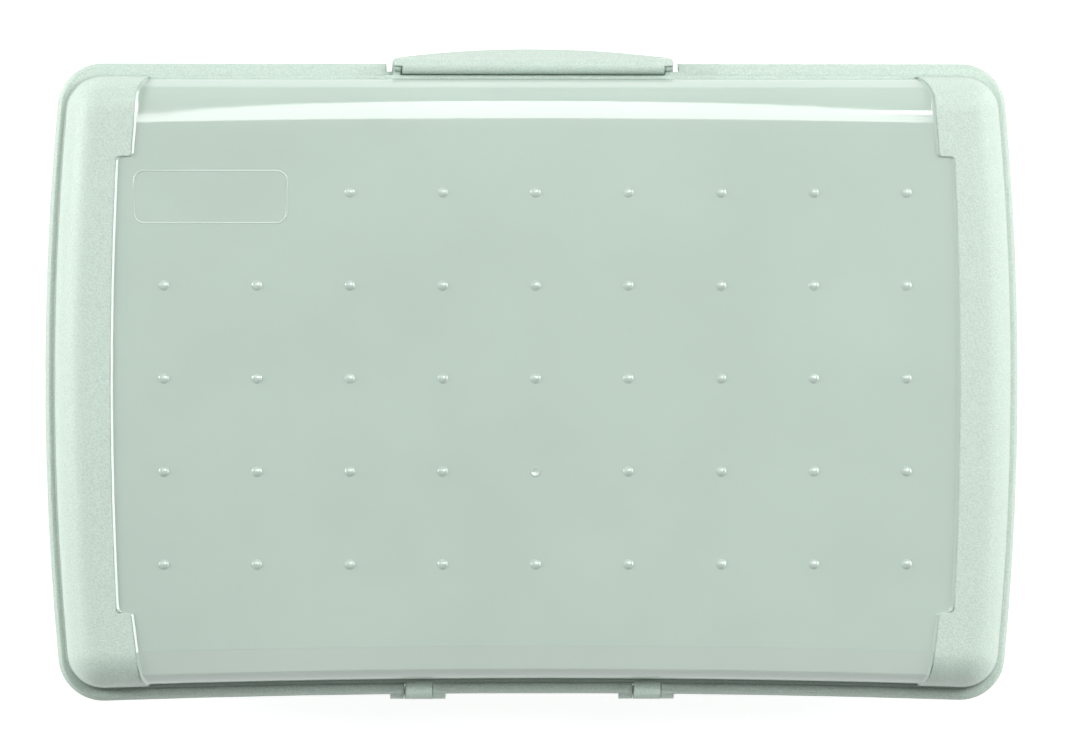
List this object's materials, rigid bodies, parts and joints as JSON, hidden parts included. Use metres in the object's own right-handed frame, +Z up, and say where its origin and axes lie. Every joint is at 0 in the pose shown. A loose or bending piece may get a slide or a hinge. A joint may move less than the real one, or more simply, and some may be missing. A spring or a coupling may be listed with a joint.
{
  "type": "wet palette",
  "caption": "Flat hinged plastic box with a front latch and a sealing rim, holding a damp sponge slab and a sheet of palette paper for keeping paint wet.",
  "frame": {"origin": "middle of the base tray's flat underside, on the table", "axes": "+X along the long side, +Y from the hinge to the latch, +Z up"},
  "size_m": [0.294, 0.1966, 0.048],
  "materials": {
    "satin_plastic": "fine grain satin",
    "gloss_plastic": "gloss",
    "seal": "soft matte",
    "steel": "drawn",
    "foam": "open cell",
    "paper": "smooth"
  },
  "bodies": {
    "base": {"base_tray": "satin_plastic", "rim_seal": "seal", "hinge_pin_left": "steel", "hinge_pin_right": "steel", "sponge": "foam", "palette_paper": "paper"},
    "lid": {"lid_shell": "satin_plastic", "lid_panel": "gloss_plastic", "latch_pin": "steel"},
    "latch": {"latch": "satin_plastic"}
  },
  "joints": [
    {"name": "lid_hinge", "type": "hinge", "parent": "base", "child": "lid", "pos_m": [0, -0.0946, 0.0298], "axis": [1, 0, 0], "range_deg": [0, 180]},
    {"name": "latch_hinge", "type": "hinge", "parent": "lid", "child": "latch", "pos_m": [0, 0.0942, 0.0358], "axis": [1, 0, 0], "range_deg": [0, 100]}
  ]
}
